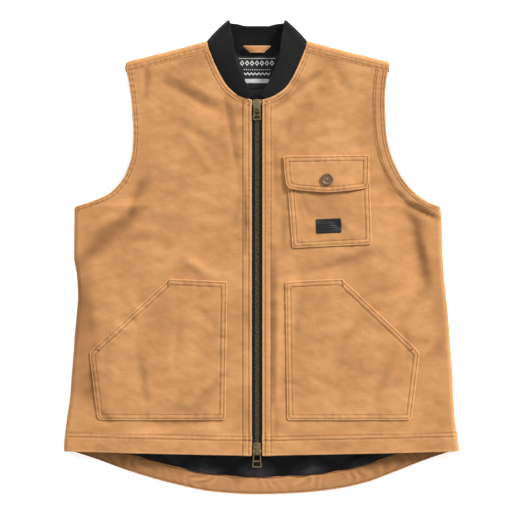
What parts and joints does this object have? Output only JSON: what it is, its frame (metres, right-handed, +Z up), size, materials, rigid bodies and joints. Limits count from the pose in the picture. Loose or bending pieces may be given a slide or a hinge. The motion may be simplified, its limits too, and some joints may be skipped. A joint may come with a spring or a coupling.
{
  "type": "work vest",
  "caption": "Sleeveless canvas work vest, laid flat on its back, with a full front zip, ribbed collar, quilted lining, slanted hand pockets and a buttoned chest pocket.",
  "frame": {"origin": "on the table, under the middle of the whole vest's box", "axes": "+X to the viewer's right across the chest (the wearer's left), +Y from the tail to the collar, +Z up out of the table, so the front of the vest faces up"},
  "size_m": [0.6338, 0.761, 0.0315],
  "materials": {
    "canvas": "matte cotton duck",
    "lining": "quilted satin",
    "rib_knit": "matte rib knit",
    "zip_tape": "matte woven tape",
    "zip_metal": "aged brass",
    "button": "satin, mottled like horn",
    "patch": "embossed",
    "label": "woven label"
  },
  "bodies": {
    "garment": {"front_panel_right": "canvas", "front_panel_left": "canvas", "back_panel": "canvas", "tail_facing": "canvas", "lining_front_right": "lining", "lining_front_left": "lining", "lining_back": "lining", "hand_pocket_right": "canvas", "hand_pocket_left": "canvas", "chest_pocket": "canvas", "chest_flap": "canvas", "button": "button", "pocket_patch": "patch", "neck_label": "label", "hanger_loop": "canvas", "rib_collar": "rib_knit", "zip_tape_right": "zip_tape", "zip_tape_left": "zip_tape", "zip_chain": "zip_metal", "zip_slider_top": "zip_metal", "zip_slider_bottom": "zip_metal"},
    "top_pull": {"zip_pull_top": "zip_metal"},
    "bottom_pull": {"zip_pull_bottom": "zip_metal"}
  },
  "joints": [
    {"name": "top_pull_hinge", "type": "hinge", "parent": "garment", "child": "top_pull", "pos_m": [-0.00735, 0.23921, 0.02726], "axis": [-1, 0, 0], "range_deg": [0, 150]},
    {"name": "bottom_pull_hinge", "type": "hinge", "parent": "garment", "child": "bottom_pull", "pos_m": [-0.00735, -0.30971, 0.02795], "axis": [-1, 0, 0], "range_deg": [0, 150]}
  ]
}
